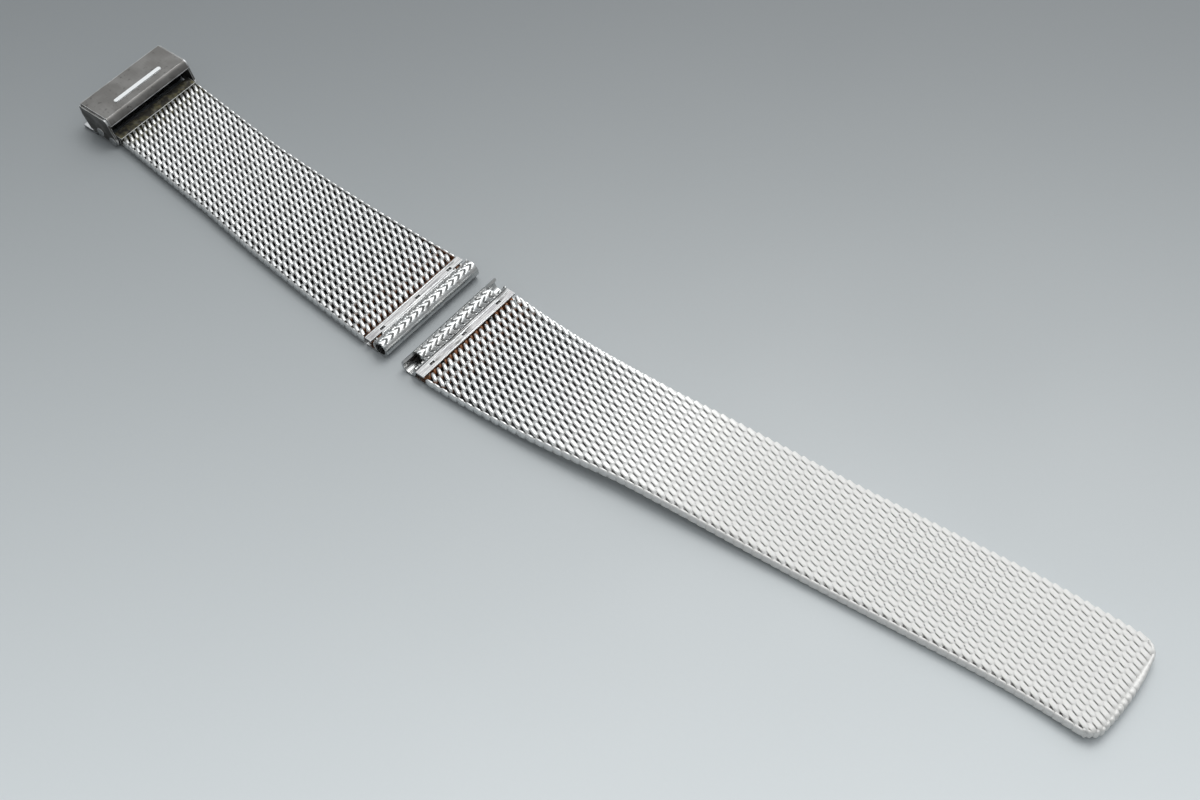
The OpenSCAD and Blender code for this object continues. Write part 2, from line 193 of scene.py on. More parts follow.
class StageSettings(bpy.types.PropertyGroup):
    """Camera, light and floor."""
    focal: FloatProperty(name="Focal length", description="For a sensor 36 mm wide", default=48.9)
    elevation: angle("Elevation", "Height of the camera's view over the floor", 54)
    distance: length("Distance", "From the camera to the middle of the view", 200.3)
    turn: angle("Turn", "Heading of the bracelet in the picture", -38.95)
    aside: length("Aside", "Shift of the origin to the left of the picture's middle", 18.28)
    beyond: length("Beyond", "Shift of the origin away from the picture's middle", 10.63)
    key_right: length("Key right", "Place of the soft lamp to the right of the middle", 100)
    key_away: length("Key away", "Place of the soft lamp beyond the middle", 220)
    key_height: length("Key height", "Height of the soft lamp over the floor", 500)
    key_size: length("Key size", "Side of the soft lamp", 280)
    key_power: share("Key power", "Watts of the soft lamp", 1.0)
    key_tint: colour("Key tint", "Tint of the soft lamp", 1.0, 0.99, 0.97)
    glow_turn: angle("Glow turn", "Heading of the room's brightest part, to the right of straight away", 30)
    glow_height: angle("Glow height", "Height of the room's brightest part", 60)
    glow_inner: angle("Glow inner", "Half angle of the fully bright part", 26)
    glow_outer: angle("Glow outer", "Half angle at which the glow ends", 50)
    glow: share("Glow", "Strength of the bright part of the room", 1.35)
    dim: share("Dim", "Strength of the rest of the room", 0.42)
    room: colour("Room", "Tint of the room's light", 0.97, 0.99, 1.0)
    floor_size: length("Floor size", "Side of the floor", 6000)
    floor_drop: length("Floor drop", "Distance of the floor below the lug ends", 0.01)
    # The floor's colour runs from near to far as painted light and shade.
    floor_near: colour("Near floor", "Pale grey floor before the object", 0.72, 0.765, 0.785)
    floor_far: colour("Far floor", "Pale grey floor beyond the object", 0.175, 0.19, 0.20)
    fade_from: share("Fade from", "Where the floor starts to darken, in mm beyond the origin", -90)
    fade_to: share("Fade to", "Where it is darkest, in mm beyond the origin", 100)
    fade_power: share("Fade power", "Below 1, the floor darkens sooner", 0.6)


GROUPS = {
    "weave": WeaveSettings,
    "lie": LieSettings,
    "lug": LugSettings,
    "tip": TipSettings,
    "clasp": ClaspSettings,
    "finish": FinishSettings,
    "stage": StageSettings,
}


def settings(group):
    """One of the scene's groups of settings."""
    return getattr(bpy.context.scene, "bracelet_" + group)


# Handling of pieces

def select_only(piece):
    bpy.ops.object.select_all(action="DESELECT")
    piece.select_set(True)
    bpy.context.view_layer.objects.active = piece


def coordinates(piece):
    points = np.empty(3 * len(piece.data.vertices))
    piece.data.vertices.foreach_get("co", points)
    return points.reshape(-1, 3)


def move_to(piece, points):
    piece.data.vertices.foreach_set("co", np.asarray(points).ravel())
    piece.data.update()


def grid(columns, steps):
    """A grid to shape: the piece, each point's column and its place across, from -0.5 to 0.5."""
    bpy.ops.object.select_all(action="DESELECT")
    bpy.ops.mesh.primitive_grid_add(x_subdivisions=columns - 1, y_subdivisions=steps, size=1)
    piece = bpy.context.object
    flat = coordinates(piece)
    return piece, np.rint((flat[:, 0] + 0.5) * (columns - 1)).astype(int), flat[:, 1]


def apply_modifier(piece, kind, **values):
    select_only(piece)
    modifier = piece.modifiers.new(kind.title(), kind)
    for key, value in values.items():
        setattr(modifier, key, value)
    bpy.ops.object.modifier_apply(modifier=modifier.name)


def settle(piece, name, slot, *nodes, finish=None):
    """Names a finished piece, gives it its finish and seats it in place of its solids."""
    select_only(piece)
    bpy.ops.object.transform_apply(location=True, rotation=True, scale=True)
    piece.name = name
    piece.data.name = name
    piece.data.materials.clear()
    piece.data.materials.append(finish_of(finish or slot))
    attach(piece, frame["nodes"][nodes[0]]["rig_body"])
    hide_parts(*nodes)


def eased_copy(node, bevel):
    """A copy of a solid, merged and with its edges eased by a bevel in millimetres."""
    piece = frame["nodes"][node].copy()
    piece.data = piece.data.copy()
    piece.parent = None
    for key in list(piece.keys()):
        del piece[key]
    bpy.context.scene.collection.objects.link(piece)
    select_only(piece)
    bpy.ops.object.mode_set(mode="EDIT")
    bpy.ops.mesh.select_all(action="SELECT")
    bpy.ops.mesh.remove_doubles(threshold=MERGE)
    bpy.ops.mesh.dissolve_limited(angle_limit=radians(1))
    bpy.ops.object.mode_set(mode="OBJECT")
    apply_modifier(piece, "BEVEL", width=bevel * MM, segments=2, limit_method="ANGLE",
                   angle_limit=radians(35), miter_outer="MITER_ARC")
    bpy.ops.object.shade_smooth_by_angle(angle=radians(40))
    apply_modifier(piece, "WEIGHTED_NORMAL", keep_sharp=True)
    mark_edges(piece, 1.2 * bevel * MM)
    return piece


def eased_piece(node, name, slot, bevel):
    settle(eased_copy(node, bevel), name, slot, node)


def add_values(piece, name, domain, values):
    """Stores one number for each face or point, for a finish to read."""
    attribute = piece.data.attributes.new(name, "FLOAT", domain)
    attribute.data.foreach_set("value", np.asarray(values, dtype=np.float32))


def mark_edges(piece, narrow):
    """Marks the narrow faces along edges and bends, where worn metal is painted bright as a highlight too.
    """
    mesh = piece.data
    longest = [max((mesh.vertices[a].co - mesh.vertices[b].co).length for a, b in face.edge_keys)
               for face in mesh.polygons]
    add_values(piece, "edge", "FACE",
               [face.area < narrow * side for face, side in zip(mesh.polygons, longest)])


# The two halves and the line along which each one lies

def smooth_step(u):
    c = np.clip(u, 0.0, 1.0)
    return c * c * (3 - 2 * c)


class Half:
    """Rows, width and lie of one half. Flat places are along, across and up."""

    def __init__(self, name):
        weave = settings("weave")
        self.name = name
        self.rows = weave.long_rows if name == LONG else weave.short_rows
        self.taper = weave.long_taper if name == LONG else weave.short_taper
        self.sections = sum(n.startswith(name + "_mesh_") for n in frame["nodes"])
        self.span = self.rows * weave.row_pitch
        strip_low, strip_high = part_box(name + "_lug_strip")
        tube_low, tube_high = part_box(name + "_lug_tube")
        self.tube_r = -tube_low.z
        self.axis_x = 0.0 if name == LONG else tube_high.x - self.tube_r
        self.strip_near = abs((strip_low if name == LONG else strip_high).x - self.axis_x)
        self.strip_far = abs((strip_high if name == LONG else strip_low).x - self.axis_x)
        self.strip_top = strip_high.z
        self.start = self.strip_far + settings("lug").seat + weave.row_gap / 2
        self.middle = self.strip_top - weave.thickness / 2
        self.line = self.walk()

    def first_row(self, section):
        return floor(section * self.rows / self.sections)

    def heading(self, s):
        """Turn of the rows at the distance s."""
        lie = settings("lie")
        if self.name == SHORT:
            return lie.short_turn * smooth_step(s / lie.slip_length)
        built = smooth_step(s / lie.bend_length)
        return lie.long_bend * (built - smooth_step(1 - (self.span - s) / lie.unbend_length))

    def slip(self, s):
        """Sideways slip of the rows past one another at the distance s."""
        if self.name == LONG:
            return 0.0 * s
        lie = settings("lie")
        return -tan(lie.short_slip) * smooth_step(s / lie.slip_length)

    def slope(self, s):
        if self.name == SHORT:
            return 0.0 * s
        lie = settings("lie")
        arch = np.where(s < lie.arch_length, np.sin(2 * pi * s / lie.arch_length), 0.0)
        tilt = smooth_step(1 - (self.span - s) / lie.tilt_length)
        return lie.arch_slope * arch + lie.tip_tilt * tilt

    def width(self, s):
        weave = settings("weave")
        narrowed = np.minimum(1.0, s / self.taper)
        return weave.strap_width + (weave.lug_width - weave.strap_width) * (1 - narrowed)

    def axes(self, s):
        """Directions along, across and up at the distance s."""
        s = np.clip(np.asarray(s, float), 0.0, self.span)
        a = self.heading(s)
        b = self.slope(s)
        along = np.stack([np.cos(b) * np.cos(a), np.cos(b) * np.sin(a), np.sin(b)], -1)
        across = np.stack([-np.sin(a), np.cos(a), 0 * a], -1)
        return along, across, np.cross(along, across)

    def walk(self):
        """Points between the rows, from the lug end outwards."""
        pitch = settings("weave").row_pitch
        s = (np.arange(self.rows) + 0.5) * pitch
        along, across, _ = self.axes(s)
        steps = (along + across * self.slip(s)[:, None]) * pitch
        first = np.array([[self.start, 0.0, self.middle]])
        return np.vstack([first, first + np.cumsum(steps, axis=0)])

    def lay(self, flat):
        """Bends flat places onto the line of the half and sets them in the frame."""
        s = flat[:, 0]
        on_mesh = np.clip(s, 0.0, self.span)
        row = on_mesh / settings("weave").row_pitch
        low = np.minimum(np.floor(row).astype(int), self.rows - 1)
        part = (row - low)[:, None]
        line = self.line[low] * (1 - part) + self.line[low + 1] * part
        along, across, up = self.axes(s)
        past = along * (s - on_mesh)[:, None]
        return self.place(line + past + across * flat[:, 1:2] + up * flat[:, 2:3])

    def place(self, points):
        """Turns the short half round and moves it to its own tube."""
        if self.name == LONG:
            return points
        return points * np.array([-1.0, -1.0, 1.0]) + np.array([self.axis_x, 0.0, 0.0])


# Coils

TURN_POINTS = 14


def coil_line(width, height, reach):
    """Centre line of one flattened, left-handed coil wound across the strap."""
    weave = settings("weave")
    turn = np.linspace(0, 2 * pi * weave.columns, weave.columns * TURN_POINTS + 1)
    x = -np.cos(turn)
    z = -np.sin(turn)
    power = weave.squareness
    r = (np.abs(x) ** power + np.abs(z) ** power) ** (-1 / power)
    pitch = (width - weave.wire) / weave.columns
    advance = turn - weave.skew * np.sin(2 * turn) + weave.sweep * np.cos(turn)
    y = (weave.wire - width) / 2 + pitch * advance / (2 * pi)
    return np.stack([reach * x * r, y, height * z * r], 1)


def wound(coils, name):
    """Wire coils in flat places: distance along, line, limits across and thickness of each."""
    weave = settings("weave")
    curve = bpy.data.curves.new(name, "CURVE")
    curve.dimensions = "3D"
    curve.bevel_depth = weave.wire / 2
    curve.bevel_resolution = 3
    curve.use_fill_caps = True
    for s, line, limits, swell in coils:
        line = line[np.abs(line[:, 1]) <= limits - weave.wire / 2]
        spline = curve.splines.new("POLY")
        spline.points.add(len(line) - 1)
        shifted = line + np.array([s, 0.0, 0.0])
        spline.points.foreach_set("co", np.column_stack([shifted, np.ones(len(line))]).ravel())
        spline.points.foreach_set("radius", np.full(len(line), swell))
    piece = bpy.data.objects.new(name, curve)
    bpy.context.scene.collection.objects.link(piece)
    select_only(piece)
    bpy.ops.object.convert(target="MESH")
    return bpy.context.object


def selvedge(half, places):
    """The fused ends of the coils in flat places: one bead for each coil at each edge."""
    weave = settings("weave")
    bpy.ops.object.select_all(action="DESELECT")
    bpy.ops.mesh.primitive_uv_sphere_add(segments=14, ring_count=10, radius=1)
    beads = bpy.context.object
    ball = coordinates(beads)
    power = weave.bead_squareness
    ball *= (np.abs(ball) ** power).sum(1, keepdims=True) ** (-1 / power)
    ball *= np.array([weave.bead_length * weave.row_pitch, weave.bead_width, weave.bead_height])
    apply_modifier(beads, "ARRAY", count=2 * len(places))
    middles = []
    for s in places:
        reach = half.width(s) / 2 - weave.bead_width
        middles += [(s, reach, 0.0), (s, -reach, 0.0)]
    move_to(beads, (np.array(middles)[:, None, :] + ball[None, :, :]).reshape(-1, 3))
    return beads


def join(piece, other):
    """Takes the other piece into the first one."""
    bpy.ops.object.select_all(action="DESELECT")
    other.select_set(True)
    piece.select_set(True)
    bpy.context.view_layer.objects.active = piece
    bpy.ops.object.join()


def lay_down(half, piece):
    """Presses the crests flat, marks crests and edges and bends the piece onto its line."""
    top = settings("weave").thickness / 2
    band = 0.5 * MM
    fade = 0.3 * MM
    flat = coordinates(piece)
    flat[:, 2] = np.clip(flat[:, 2], -top, top)
    inwards = half.width(flat[:, 0]) / 2 - np.abs(flat[:, 1])
    add_values(piece, "crest", "POINT",
               np.maximum(np.abs(flat[:, 2]) / top, smooth_step((band - inwards) / fade)))
    move_to(piece, half.lay(flat))
    select_only(piece)
    bpy.ops.object.shade_smooth()


def tip_limit(half, s):
    """Half width of the mesh inside the rim, at the distance s."""
    tip = settings("tip")
    seat = settings("lug").seat
    corner = tip.corner - tip.rim - seat
    past = s - half.span + seat + corner
    side = half.width(s) / 2
    if half.name == SHORT or past <= 0:
        return side
    return side - corner + sqrt(max(0.0, corner ** 2 - past ** 2))


def mesh_section(half, section):
    """The coils and fused ends of one group of rows, pressed flatter along the tail."""
    weave = settings("weave")
    coils = []
    edged = []
    for row in range(half.first_row(section), half.first_row(section + 1)):
        s = (row + 0.5) * weave.row_pitch
        flatter = smooth_step(s / weave.tail_start) if half.name == LONG else 0.0
        press = weave.press + (weave.tail_press - weave.press) * flatter
        back = min(weave.coil_reach, s + (weave.row_gap - weave.wire) / 2)
        ahead = min(weave.coil_reach, half.span + settings("tip").rim / 2 - s)
        s += (ahead - back) / 2
        line = coil_line(half.width(s), (weave.thickness - weave.wire) / 2 + press, (ahead + back) / 2)
        limits = np.array([tip_limit(half, s + x) for x in line[:, 0]])
        coils.append((s, line, limits, 1 + weave.tail_swell * flatter))
        if tip_limit(half, s) == half.width(s) / 2:
            edged.append(s)
    name = f"{half.name}_weave_{section + 1:02d}"
    piece = wound(coils, name)
    join(piece, selvedge(half, edged))
    lay_down(half, piece)
    settle(piece, name, "mesh_wire", f"{half.name}_mesh_{section + 1:02d}")


def pressed_coils(half, places, reach, node, name):
    """Coils at the given places along the mesh, pressed flat between the sheets that hold them."""
    low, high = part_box(node)
    width = high.y - low.y
    height = max(0.0, (high.z - low.z - settings("weave").wire) / 2)
    coils = []
    for s in places:
        line = coil_line(width, height, reach)
        line[:, 2] += (low.z + high.z) / 2 - half.middle
        coils.append((s, line, width / 2, 1.0))
    piece = wound(coils, name)
    lay_down(half, piece)
    settle(piece, name, "mesh_wire", node)


# Lug ends

LEAF_POINTS = 12
ROLL_POINTS = 110
TUBE_STEPS = 190


def sheet_line(half, leaf_end):
    """Middle of the rolled sheet: along the leaf, then round the bore. Gives places and turns."""
    lug = settings("lug")
    r = half.tube_r - lug.sheet / 2
    leaf = [(leaf_end * (1 - k / LEAF_POINTS), -r, -pi / 2) for k in range(LEAF_POINTS)]
    turns = np.linspace(-pi / 2, -pi / 2 - lug.roll, ROLL_POINTS)
    return leaf + [(r * cos(t), r * sin(t), t) for t in turns]


def stamped(y, turn):
    """Height of the stamped chevrons, from -1 to 0: lanes of strokes that slant in turn."""
    lug = settings("lug")
    lane_width = (lug.stamp_to - lug.stamp_from) / lug.stamp_lanes
    across = (-turn - pi - lug.stamp_from) / lane_width
    lane = np.floor(across)
    inside = across - lane - 0.5
    lean = np.where(lane % 2 == 0, 1.0, -1.0)
    phase = y / lug.stamp_pitch + lean * inside * lug.stamp_slant + 0.5 * (lane // 2)
    stroke = np.abs(phase - np.round(phase)) * 2
    groove = 1 - smooth_step((stroke - 0.3) / 0.3)
    wall = 1 - smooth_step((np.abs(inside) - 0.38) / 0.1)
    return np.where((across > 0) & (across < lug.stamp_lanes), -groove * wall, 0.0)


def lug_tube(half):
    """The stamped tube and the leaf below the mesh, rolled from one sheet."""
    lug = settings("lug")
    node = half.name + "_lug_tube"
    low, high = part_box(node)
    leaf_end = max(abs(low.x - half.axis_x), abs(high.x - half.axis_x))
    tube_l = high.y - low.y
    line = sheet_line(half, leaf_end)
    piece, column, across = grid(len(line), TUBE_STEPS)
    x, z, turn = np.array(line)[column].T
    y = across * tube_l
    r = half.tube_r - lug.sheet / 2
    stamp = np.where(column >= LEAF_POINTS, stamped(y, turn), 0.0)
    add_values(piece, "stamp", "POINT", -stamp)
    raised = 1 + stamp * lug.stamp_depth / r
    move_to(piece, np.stack([x * raised, y, z * raised], 1))
    if half.name == LONG:
        cut_notches(piece, tube_l)
    apply_modifier(piece, "SOLIDIFY", thickness=lug.sheet, offset=0.0, use_even_offset=True)
    bpy.ops.object.mode_set(mode="EDIT")
    bpy.ops.mesh.select_all(action="SELECT")
    bpy.ops.mesh.normals_make_consistent(inside=False)
    bpy.ops.object.mode_set(mode="OBJECT")
    bpy.ops.object.shade_smooth_by_angle(angle=radians(50))
    move_to(piece, half.place(coordinates(piece)))
    settle(piece, half.name + "_rolled_tube", "lug_sheet", node)


def cut_notches(piece, tube_l):
    """Opens the wrist side of the tube at both ends, over the upper half of the bore."""
    lug = settings("lug")
    inner = tube_l / 2 - lug.notch
    bore = abs(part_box("long_lug_tube")[0].z) - lug.sheet
    outer = -0.75 * bore
    lowest = 0.5 * bore
    faces = [abs(f.center.y) > inner and f.center.x > outer and f.center.z > lowest
             for f in piece.data.polygons]
    select_only(piece)
    bpy.ops.object.mode_set(mode="EDIT")
    bpy.ops.mesh.select_mode(type="FACE")
    bpy.ops.mesh.select_all(action="DESELECT")
    bpy.ops.object.mode_set(mode="OBJECT")
    piece.data.polygons.foreach_set("select", faces)
    bpy.ops.object.mode_set(mode="EDIT")
    bpy.ops.mesh.delete(type="FACE")
    bpy.ops.object.mode_set(mode="OBJECT")


def lug_strip(half):
    """The flat strip with two thin raised lines along it."""
    lug = settings("lug")
    node = half.name + "_lug_strip"
    low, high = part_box(node)
    piece = eased_copy(node, 0.07)
    outwards = 1 if half.name == LONG else -1
    for offset in (-lug.ridge_in, lug.ridge_out):
        bpy.ops.object.select_all(action="DESELECT")
        place = ((low.x + high.x) / 2 + outwards * offset, (low.y + high.y) / 2, high.z - lug.ridge / 3)
        bpy.ops.mesh.primitive_cylinder_add(vertices=12, radius=lug.ridge, location=place,
                                            depth=high.y - low.y - 0.3 * MM, rotation=(pi / 2, 0, 0))
        ridge = bpy.context.object
        bpy.ops.object.transform_apply(location=True, rotation=True, scale=True)
        apply_modifier(ridge, "BEVEL", width=0.02 * MM, segments=2, limit_method="ANGLE",
                       angle_limit=radians(50))
        bpy.ops.object.shade_smooth_by_angle(angle=radians(50))
        # Marks the raised lines for the painted highlight of the bright edge colour.
        add_values(ridge, "edge", "FACE", np.ones(len(ridge.data.polygons)))
        join(piece, ridge)
    settle(piece, half.name + "_flat_strip", "lug_sheet", node, finish="lug_strip")


def lug_end(half):
    weave = settings("weave")
    lug_tube(half)
    lug_strip(half)
    eased_piece(half.name + "_lug_stakes", half.name + "_stake_ends", "stakes", 0.05)
    middle = (half.strip_near + half.strip_far) / 2 - half.start
    places = (middle - weave.row_pitch / 4, middle + weave.row_pitch / 4)
    pressed_coils(half, places, 0.9 * weave.coil_reach, half.name + "_end_row", half.name + "_end_coils")


# Tip

CORNER_POINTS = 26
CROWN_POINTS = 150
RIM_SIDES = 20


def tip_path(half):
    """Outline of the tip from one side to the other, as flat places."""
    tip = settings("tip")
    side = settings("weave").strap_width / 2
    sag = tip.curve - sqrt(tip.curve ** 2 - (side - tip.corner) ** 2)
    centre_x = tip.rim - tip.corner
    centre_y = side - tip.corner
    start = radians(5)
    stop = radians(84)
    quarter = [(centre_x + tip.corner * sin(t), centre_y + tip.corner * cos(t))
               for t in np.linspace(start, stop, CORNER_POINTS)]
    reach = quarter[-1][1]
    crown = [(tip.rim + sag - tip.curve + sqrt(tip.curve ** 2 - y ** 2), y)
             for y in np.linspace(reach, -reach, CROWN_POINTS)[1:-1]]
    return [(half.span + x, y) for x, y in quarter + crown + [(x, -y) for x, y in quarter[::-1]]]


def boxy(value):
    """Turns a sine or cosine into that of a rounded box."""
    return np.sign(value) * np.abs(value) ** 0.75


def tip_rim(half):
    """The fused rim, scalloped between the wire ends on one side and ground smooth on the other."""
    tip = settings("tip")
    weave = settings("weave")
    path = np.array(tip_path(half))
    ahead = np.gradient(path, axis=0)
    ahead /= np.linalg.norm(ahead, axis=1)[:, None]
    out = np.stack([-ahead[:, 1], ahead[:, 0]], 1)
    run = np.concatenate([[0], np.cumsum(np.linalg.norm(np.diff(path, axis=0), axis=1))])
    pitch = weave.strap_width / weave.columns
    wave = 1 - np.sqrt(np.abs(np.sin(pi * run / pitch)))
    filed = 0.75 * smooth_step((path[:, 1] + 0.5 * MM) / (2 * MM))
    dip = tip.scallop * wave * (1 - filed)
    whole = tip.rim + np.maximum(0.0, path[:, 0] - half.span - tip.rim)
    path = path - out * whole[:, None] / 2
    thinner = 0.1 * MM
    height = (weave.thickness - thinner) / 2
    piece, i, across = grid(len(path), RIM_SIDES)
    turn = (across + 0.5) * 2 * pi
    outward = boxy(np.cos(turn)) * (whole[i] - dip[i]) / 2 - dip[i] / 2
    place = path[i] + out[i] * outward[:, None]
    up = boxy(np.sin(turn)) * (height - dip[i] * 0.8)
    move_to(piece, half.lay(np.column_stack([place, up])))
    bpy.ops.object.mode_set(mode="EDIT")
    bpy.ops.mesh.select_all(action="SELECT")
    bpy.ops.mesh.remove_doubles(threshold=MERGE)
    bpy.ops.mesh.select_all(action="DESELECT")
    bpy.ops.mesh.select_mode(type="EDGE")
    bpy.ops.mesh.select_non_manifold()
    bpy.ops.mesh.edge_face_add()
    bpy.ops.mesh.select_all(action="SELECT")
    bpy.ops.mesh.normals_make_consistent(inside=False)
    bpy.ops.object.mode_set(mode="OBJECT")
    bpy.ops.object.shade_smooth_by_angle(angle=radians(60))
    settle(piece, "tip_fused_rim", "tip_rim", "tip_rim")


# Clasp

def clamp(half):
    eased_piece("mesh_clamp", "rolled_clamp", "clamp_sheet", 0.06)
    clasp = settings("clasp")
    middle = half.span + (settings("weave").row_gap + clasp.leaf) / 2
    pressed_coils(half, (middle,), 0.4 * clasp.leaf, "clamp_row", "clamp_coils")


# Materials

class Finish:
    """Builds one material's nodes."""

    def __init__(self, name):
        self.material = bpy.data.materials.new(name)
        self.material.use_nodes = True
        self.nodes = self.material.node_tree.nodes
        self.links = self.material.node_tree.links
        self.surface = self.nodes["Principled BSDF"]
        self.tone = settings("finish")
        object_place = self.add("ShaderNodeTexCoord").outputs["Object"]
        self.place = self.add("ShaderNodeVectorMath", {0: object_place, 1: (1 / MM,) * 3},
                              operation="MULTIPLY").outputs[0]

    def add(self, kind, inputs=None, **values):
        node = self.nodes.new(kind)
        for key, value in values.items():
            setattr(node, key, value)
        for key, value in (inputs or {}).items():
            self.feed(node.inputs[key], value)
        return node

    def feed(self, socket, value):
        if isinstance(value, bpy.types.NodeSocket):
            self.links.new(value, socket)
        elif socket.type == "RGBA" and len(value) == 3:
            socket.default_value = (*value, 1.0)
        else:
            socket.default_value = value

    def along(self, axis):
        """Place along X, Y or Z in millimetres."""
        return self.add("ShaderNodeSeparateXYZ", {0: self.place}).outputs[axis]

    def attribute(self, name):
        return self.add("ShaderNodeAttribute", attribute_name=name).outputs["Fac"]

    def noise(self, scale, detail=3.0, stretch=(1, 1, 1)):
        """Noise from 0 to 1, with its scale in waves per millimetre."""
        at = self.add("ShaderNodeMapping", {"Vector": self.place, "Scale": stretch}).outputs[0]
        made = self.add("ShaderNodeTexNoise", {"Vector": at, "Scale": scale, "Detail": detail})
        return made.outputs["Fac"]

    def ramp(self, value, low, high, to_low=0.0, to_high=1.0):
        made = self.add("ShaderNodeMapRange", {0: value, 1: low, 2: high, 3: to_low, 4: to_high},
                        interpolation_type="SMOOTHSTEP")
        return made.outputs[0]

    def patches(self, scale, detail, low, high, to_low=0.0, to_high=1.0, stretch=(1, 1, 1)):
        """Soft patches: noise that is ramped from low to high."""
        return self.ramp(self.noise(scale, detail, stretch), low, high, to_low, to_high)

    def maths(self, operation, a, b=0.0):
        return self.add("ShaderNodeMath", {0: a, 1: b}, operation=operation).outputs[0]

    def plus(self, a, b):
        return self.maths("ADD", a, b)

    def less(self, a, b):
        return self.maths("SUBTRACT", a, b)

    def times(self, a, b):
        return self.maths("MULTIPLY", a, b)

    def larger(self, a, b):
        return self.maths("MAXIMUM", a, b)

    def dot(self, a, b):
        return self.add("ShaderNodeVectorMath", {0: a, 1: b}, operation="DOT_PRODUCT").outputs["Value"]

    def mix(self, part, a, b):
        made = self.add("ShaderNodeMix", data_type="RGBA")
        self.feed(made.inputs[0], part)
        self.feed(made.inputs[6], a)
        self.feed(made.inputs[7], b)
        return made.outputs[2]

    def near(self, x, middle, inner, outer):
        """1 within the inner distance of a place along x and 0 beyond the outer one."""
        return self.ramp(self.maths("ABSOLUTE", self.less(x, middle)), inner, outer, 1.0, 0.0)

    def edge_wear_and_sheen(self, radius):
        """Share of the edges painted bright as wear and painted highlight: where the rounded normal leaves
        the true one.
        """
        rounded = self.add("ShaderNodeBevel", {"Radius": radius}, samples=6).outputs["Normal"]
        true = self.add("ShaderNodeNewGeometry").outputs["Normal"]
        return self.ramp(self.dot(rounded, true), 0.78, 0.95, 1.0, 0.0)

    def bump(self, height, depth):
        """Roughens the surface by a height map, with its depth in millimetres."""
        made = self.add("ShaderNodeBump", {"Height": height, "Distance": depth * MM, "Strength": 1.0})
        self.links.new(made.outputs[0], self.surface.inputs["Normal"])

    def set(self, base, metal, rough):
        for name, value in (("Base Color", base), ("Metallic", metal), ("Roughness", rough)):
            self.feed(self.surface.inputs[name], value)


def wire_finish(f):
    """Steel wire: dirt and painted shade deep in the weave, rust by the lugs, residue by the clasp, a milky
    tail with painted light deep in its weave.
    """
    lugs_x = (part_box("short_lug_tube")[1].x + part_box("long_lug_tube")[0].x) / (2 * MM)
    clasp_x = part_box("mesh_clamp")[1].x / MM
    x = f.along("X")
    depth = f.attribute("crest")
    flat = f.ramp(depth, 0.90, 0.99)
    clean = f.times(flat, f.ramp(x, -6.0, 0.0, 0.4, 1.0))
    base = f.mix(f.patches(0.9, 4, 0.30, 0.75), f.tone.steel, f.tone.worn)
    base = f.mix(clean, base, f.tone.steel)
    milky = f.ramp(x, 6.0, 48.0)
    deep_darkening = f.less(1.0, f.times(milky, 0.95))
    # Painted shade: where the wire lies deep in the weave it is darkened towards the dark dirt colour,
    # standing in for the shade between the coils as well as real dirt, and less so along the tail.
    deep = f.ramp(f.less(depth, f.times(f.noise(0.35, 4), 0.3)), 0.25, 0.62, 1.0, 0.0)
    base = f.mix(f.times(deep, deep_darkening), base, f.tone.grime_and_shade)
    near_lug = f.near(x, lugs_x, 4.0, 15.0)
    spots = f.ramp(f.plus(f.noise(0.9, 3), f.times(near_lug, 0.22)), 0.58, 0.66)
    rust = f.times(f.times(spots, near_lug), f.ramp(depth, 0.6, 0.9, 0.85, 0.0))
    base = f.mix(rust, base, f.tone.rust)
    film = f.times(f.near(x, clasp_x, 0.5, 4.5), f.patches(0.8, 4, 0.35, 0.6))
    film = f.times(film, f.ramp(depth, 0.75, 0.97, 1.0, 0.15))
    base = f.mix(film, base, f.tone.verdigris)
    # Along the tail the wire deep in the weave is painted pale: painted light in place of the shade between
    # the coils.
    base = f.mix(milky, base, f.mix(f.ramp(depth, 0.6, 0.97), f.tone.pale, f.tone.milky))
    dirt = f.larger(rust, f.times(f.larger(deep, film), 0.7))
    dull = f.larger(dirt, milky)
    rough = f.less(f.patches(2.5, 5, 0.3, 0.7, 0.20, 0.36), f.times(flat, 0.05))
    f.set(base=base, metal=f.less(1.0, f.times(dull, 0.9)), rough=f.plus(rough, f.times(dull, 0.4)))
    f.bump(f.noise(9, 4), 0.004)


def sheet_finish(f):
    """Polished sheet with fine scratches, small dents, patches of dirt and painted shade in the stamped
    grooves.
    """
    base = f.mix(f.patches(0.8, 5, 0.35, 0.75), f.tone.sheet, f.tone.worn)
    # Painted shade: the stamped grooves are darkened all along them.
    base = f.mix(f.times(f.attribute("stamp"), 0.85), base, f.tone.grime_and_shade)
    dirt = f.patches(1.3, 5, 0.58, 0.72, 0.0, 0.6, stretch=(1, 0.5, 1))
    base = f.mix(dirt, base, f.tone.grime_and_shade)
    scratches = f.noise(6.0, 6, (1.0, 0.08, 1.0))
    f.set(base=base, metal=f.ramp(dirt, 0.0, 1.0, 1.0, 0.4),
          rough=f.ramp(scratches, 0.3, 0.7, 0.20, 0.40))
    f.bump(f.plus(scratches, f.noise(2.2, 3)), 0.012)


def strip_finish(f):
    """Dull strip, brushed along its length, with its raised lines painted brighter as wear and painted
    highlight.
    """
    brushed = f.noise(7.0, 5, (1.0, 0.05, 1.0))
    line = f.attribute("edge")
    base = f.mix(f.ramp(brushed, 0.35, 0.7), f.tone.strip, f.tone.worn)
    base = f.mix(f.patches(1.1, 5, 0.52, 0.70, 0.0, 0.7, stretch=(1, 0.4, 1)), base, f.tone.grime_and_shade)
    # Painted highlight: the raised lines take the bright edge colour.
    base = f.mix(line, base, f.tone.edge)
    f.set(base=base, metal=0.95, rough=f.less(f.ramp(brushed, 0.3, 0.7, 0.34, 0.52), f.times(line, 0.15)))
    f.bump(brushed, 0.012)


